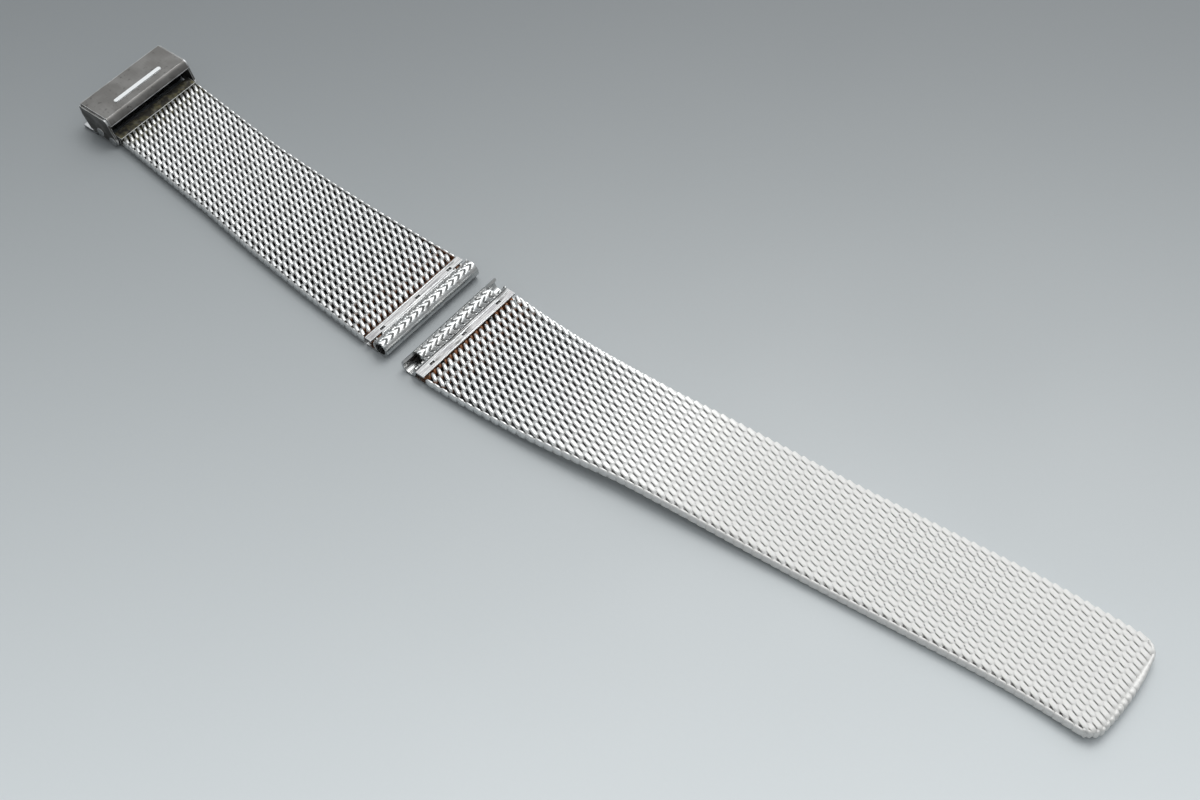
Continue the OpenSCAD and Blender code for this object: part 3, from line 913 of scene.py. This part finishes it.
def stake_finish(f):
    """Dark hammered ends of the stakes."""
    base = f.mix(f.patches(3.0, 4, 0.35, 0.6, 0.45, 1.0), f.tone.strip, f.tone.grime_and_shade)
    f.set(base=base, metal=0.8, rough=f.patches(5.0, 3, 0.3, 0.7, 0.35, 0.6))
    f.bump(f.noise(4.0, 3), 0.03)


def rim_finish(f):
    """Wire ends fused and ground, as pale as the crests beside them."""
    base = f.mix(f.patches(1.2, 4, 0.40, 0.75), f.tone.milky, f.tone.worn)
    base = f.mix(f.patches(2.6, 4, 0.62, 0.74, 0.0, 0.4), base, f.tone.grime_and_shade)
    f.set(base=base, metal=0.3, rough=f.patches(5.0, 4, 0.3, 0.7, 0.45, 0.6))
    f.bump(f.noise(3.5, 3), 0.012)


def clamp_finish(f):
    """Dull sheet under a dark film of old residue, with a rusty spot."""
    film = f.patches(0.9, 5, 0.25, 0.55)
    base = f.mix(film, f.tone.strip, f.tone.verdigris)
    base = f.mix(f.patches(1.6, 4, 0.35, 0.6, 0.35, 0.95), base, f.tone.grime_and_shade)
    base = f.mix(f.patches(0.6, 3, 0.60, 0.68, 0.0, 0.7), base, f.tone.rust)
    # Painted highlight: narrow faces along the edges are lightened towards the bright edge colour, along
    # with the wear.
    base = f.mix(f.times(f.attribute("edge"), 0.6), base, f.tone.edge)
    f.set(base=base, metal=f.ramp(film, 0.0, 1.0, 0.95, 0.35),
          rough=f.patches(3.0, 4, 0.3, 0.7, 0.35, 0.6))
    f.bump(f.noise(4.0, 4), 0.015)


def plate_finish(f):
    """Dull brushed clasp steel: edges and rib painted bright as wear and painted highlight, darkened below
    the plate as painted shade.
    """
    plate_top = (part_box("clasp_housing")[1].z - settings("clasp").rib) / MM
    z = f.along("Z")
    brushed = f.noise(7.0, 5, (0.06, 1.0, 1.0))
    base = f.mix(f.patches(0.35, 4, 0.35, 0.7, 0.0, 0.12), f.tone.plate, f.tone.worn)
    base = f.mix(f.patches(1.9, 5, 0.60, 0.72, 0.0, 0.6), base, f.tone.grime_and_shade)
    # Painted shade: the housing is darkened below the plate top, broken into patches.
    below = f.ramp(z, plate_top - 1.4, plate_top - 0.2, 0.55, 0.0)
    base = f.mix(f.times(below, f.patches(0.8, 4, 0.3, 0.6)), base, f.tone.grime_and_shade)
    # Painted highlight: edges and the top of the rib are painted in the bright edge colour, as wear and
    # highlight.
    edges = f.larger(f.attribute("edge"), f.edge_wear_and_sheen(0.2 * MM))
    rib = f.ramp(z, plate_top + 0.02, plate_top + 0.08)
    polished = f.larger(f.times(edges, f.patches(0.7, 4, 0.3, 0.6, 0.5, 1.0)), rib)
    base = f.mix(polished, base, f.tone.edge)
    f.set(base=base, metal=f.ramp(polished, 0.0, 1.0, 1.0, 0.45),
          rough=f.less(f.ramp(brushed, 0.3, 0.7, 0.36, 0.52), f.times(polished, 0.1)))
    f.bump(brushed, 0.008)


def cover_finish(f):
    """Outer cover, polished and then scratched in wear."""
    brushed = f.noise(6.0, 5, (1.0, 0.05, 1.0))
    fine = f.patches(3.0, 6, 0.55, 0.75, 0.0, 0.5, stretch=(0.3, 1.0, 1.0))
    base = f.mix(f.patches(0.5, 5, 0.4, 0.7), f.tone.sheet, f.tone.strip)
    base = f.mix(fine, base, f.tone.worn)
    f.set(base=base, metal=1.0, rough=f.ramp(brushed, 0.3, 0.7, 0.16, 0.3))
    f.bump(brushed, 0.006)


def pin_finish(f):
    """Turned steel pins."""
    turned = f.noise(8.0, 3, (1, 0.1, 1))
    base = f.mix(f.patches(2.5, 4, 0.4, 0.7), f.tone.sheet, f.tone.worn)
    f.set(base=base, metal=1.0, rough=f.ramp(turned, 0.3, 0.7, 0.18, 0.34))
    f.bump(turned, 0.005)


def grip_finish(f):
    """Toothed bar with dark grooves."""
    base = f.mix(f.patches(1.8, 4, 0.4, 0.65), f.tone.worn, f.tone.grime_and_shade)
    f.set(base=base, metal=0.9, rough=f.patches(4.0, 4, 0.3, 0.7, 0.3, 0.5))
    f.bump(f.noise(5.0, 4), 0.012)


def floor_finish(f):
    """Smooth grey board with a faint grain, painted darker with the distance: painted light and shade in
    place of the glossy floor's reflection of the bright part of the room.
    """
    stage = settings("stage")
    grain = f.noise(3.0, 3)
    away = f.dot(f.place, picture_to_frame().to_3x3() @ Vector((0, 1, 0)))
    # Painted light and shade: the floor's colour fades from near to far.
    fading = f.ramp(f.plus(away, f.times(grain, 3.0)), stage.fade_from, stage.fade_to)
    base = f.mix(f.maths("POWER", fading, stage.fade_power), stage.floor_near, stage.floor_far)
    f.set(base=base, metal=0.0, rough=f.patches(0.02, 2, 0.3, 0.7, 0.40, 0.48))
    f.bump(grain, 0.004)


FINISHES = {
    "mesh_wire": wire_finish,
    "lug_sheet": sheet_finish,
    "lug_strip": strip_finish,
    "stakes": stake_finish,
    "tip_rim": rim_finish,
    "clamp_sheet": clamp_finish,
    "clasp_steel": plate_finish,
    "cover_steel": cover_finish,
    "pins": pin_finish,
    "grip_steel": grip_finish,
    "floor": floor_finish,
}


def finish_of(slot):
    """The material of a slot, made when it is first asked for."""
    name = "finish_" + slot
    if name not in bpy.data.materials:
        made = Finish(name)
        FINISHES[slot](made)
    return bpy.data.materials[name]


# Stage

def picture_to_frame():
    """From the picture's own axes, right, away and up from the floor, to the frame."""
    stage = settings("stage")
    shift = Matrix.Translation((-stage.aside, stage.beyond, -ground()))
    return (shift @ Matrix.Rotation(stage.turn, 4, "Z")).inverted()


def add_camera(to_frame):
    stage = settings("stage")
    data = bpy.data.cameras.new("camera")
    data.sensor_width = 36
    data.lens = stage.focal
    data.clip_start = 0.005
    data.clip_end = 20
    camera = bpy.data.objects.new("camera", data)
    bpy.context.scene.collection.objects.link(camera)
    back = Vector((0, -cos(stage.elevation), sin(stage.elevation))) * stage.distance
    tilt = Matrix.Rotation(pi / 2 - stage.elevation, 4, "X")
    camera.matrix_world = to_frame @ Matrix.Translation(back) @ tilt
    bpy.context.scene.camera = camera


def add_lamp(to_frame):
    """A soft square lamp overhead, aimed at the middle of the view."""
    stage = settings("stage")
    data = bpy.data.lights.new("key", "AREA")
    data.size = stage.key_size
    data.energy = stage.key_power
    data.color = stage.key_tint
    lamp = bpy.data.objects.new("key", data)
    bpy.context.scene.collection.objects.link(lamp)
    place = Vector((stage.key_right, stage.key_away, stage.key_height))
    aim = (-place).to_track_quat("-Z", "Y").to_matrix().to_4x4()
    lamp.matrix_world = to_frame @ Matrix.Translation(place) @ aim


def ground():
    """Height of the lowest point of the lug ends."""
    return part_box("long_lug_tube")[0].z


def add_floor():
    stage = settings("stage")
    bpy.ops.object.select_all(action="DESELECT")
    bpy.ops.mesh.primitive_plane_add(size=stage.floor_size, location=(0, 0, ground() - stage.floor_drop))
    floor_plane = bpy.context.object
    bpy.ops.object.transform_apply(location=True, rotation=True, scale=True)
    floor_plane.name = "floor"
    floor_plane.data.materials.append(finish_of("floor"))


def add_room(to_frame):
    """A soft dim room whose light swells towards one part of the ceiling."""
    stage = settings("stage")
    world = bpy.data.worlds.new("room")
    world.use_nodes = True
    nodes = world.node_tree.nodes
    links = world.node_tree.links
    background = nodes["Background"]
    background.inputs["Color"].default_value = (*stage.room, 1)
    level = cos(stage.glow_height)
    glow = Vector((sin(stage.glow_turn) * level, cos(stage.glow_turn) * level, sin(stage.glow_height)))
    facing = nodes.new("ShaderNodeVectorMath")
    facing.operation = "DOT_PRODUCT"
    facing.inputs[1].default_value = to_frame.to_3x3() @ glow
    links.new(nodes.new("ShaderNodeTexCoord").outputs["Generated"], facing.inputs[0])
    swell = nodes.new("ShaderNodeMapRange")
    swell.interpolation_type = "SMOOTHSTEP"
    values = (cos(stage.glow_outer), cos(stage.glow_inner), stage.dim, stage.glow)
    for socket, value in zip(swell.inputs[1:5], values):
        socket.default_value = value
    links.new(facing.outputs["Value"], swell.inputs[0])
    links.new(swell.outputs[0], background.inputs["Strength"])
    bpy.context.scene.world = world
    bpy.context.scene.view_settings.view_transform = "Standard"


# Operators

class StageOperator(bpy.types.Operator):
    """Set up the camera, the soft lamp, the room and the floor"""
    bl_idname = "bracelet.stage"
    bl_label = "Stage"

    def execute(self, context):
        to_frame = picture_to_frame()
        add_camera(to_frame)
        add_lamp(to_frame)
        add_floor()
        add_room(to_frame)
        return {"FINISHED"}


class WeaveOperator(bpy.types.Operator):
    """Wind the coils of every mesh section of both halves"""
    bl_idname = "bracelet.weave"
    bl_label = "Weave"

    def execute(self, context):
        for half in (Half(LONG), Half(SHORT)):
            for section in range(half.sections):
                mesh_section(half, section)
        return {"FINISHED"}


class LugEndsOperator(bpy.types.Operator):
    """Roll the stamped tubes and add the strips, stakes and pressed coils"""
    bl_idname = "bracelet.lug_ends"
    bl_label = "Lug Ends"

    def execute(self, context):
        for half in (Half(LONG), Half(SHORT)):
            lug_end(half)
        return {"FINISHED"}


class TipOperator(bpy.types.Operator):
    """Shape the fused rim round the tip"""
    bl_idname = "bracelet.tip"
    bl_label = "Tip"

    def execute(self, context):
        tip_rim(Half(LONG))
        return {"FINISHED"}


class ClaspOperator(bpy.types.Operator):
    """Shape the clamp, the housing, the cover, the grip bar and the pins"""
    bl_idname = "bracelet.clasp"
    bl_label = "Clasp"

    def execute(self, context):
        clamp(Half(SHORT))
        eased_piece("clasp_housing", "formed_housing", "clasp_steel", 0.13)
        eased_piece("clasp_cover", "crowned_cover", "cover_steel", 0.09)
        eased_piece("grip_bar", "toothed_bar", "grip_steel", 0.03)
        eased_piece("end_pin", "riveted_end_pin", "pins", 0.05)
        eased_piece("cover_pin", "riveted_cover_pin", "pins", 0.05)
        return {"FINISHED"}


OPERATORS = (StageOperator, WeaveOperator, LugEndsOperator, TipOperator, ClaspOperator)


class BraceletPanel(bpy.types.Panel):
    """Lists the steps and the settings of the bracelet"""
    bl_idname = "VIEW3D_PT_bracelet"
    bl_label = "Woven Wire Bracelet"
    bl_space_type = "VIEW_3D"
    bl_region_type = "UI"
    bl_category = "Bracelet"

    def draw(self, context):
        for operator in OPERATORS:
            self.layout.operator(operator.bl_idname)
        for group, kind in GROUPS.items():
            box = self.layout.box()
            box.label(text=group.title())
            for name in kind.__annotations__:
                box.prop(settings(group), name)


def register():
    for group, kind in GROUPS.items():
        bpy.utils.register_class(kind)
        setattr(bpy.types.Scene, "bracelet_" + group, PointerProperty(type=kind))
    for kind in (*OPERATORS, BraceletPanel):
        bpy.utils.register_class(kind)


def unregister():
    for kind in (BraceletPanel, *reversed(OPERATORS)):
        bpy.utils.unregister_class(kind)
    for group, kind in reversed(GROUPS.items()):
        delattr(bpy.types.Scene, "bracelet_" + group)
        bpy.utils.unregister_class(kind)


def main():
    register()
    for operator in OPERATORS:
        group, name = operator.bl_idname.split(".")
        getattr(getattr(bpy.ops, group), name)()


if __name__ == "__main__":
    main()
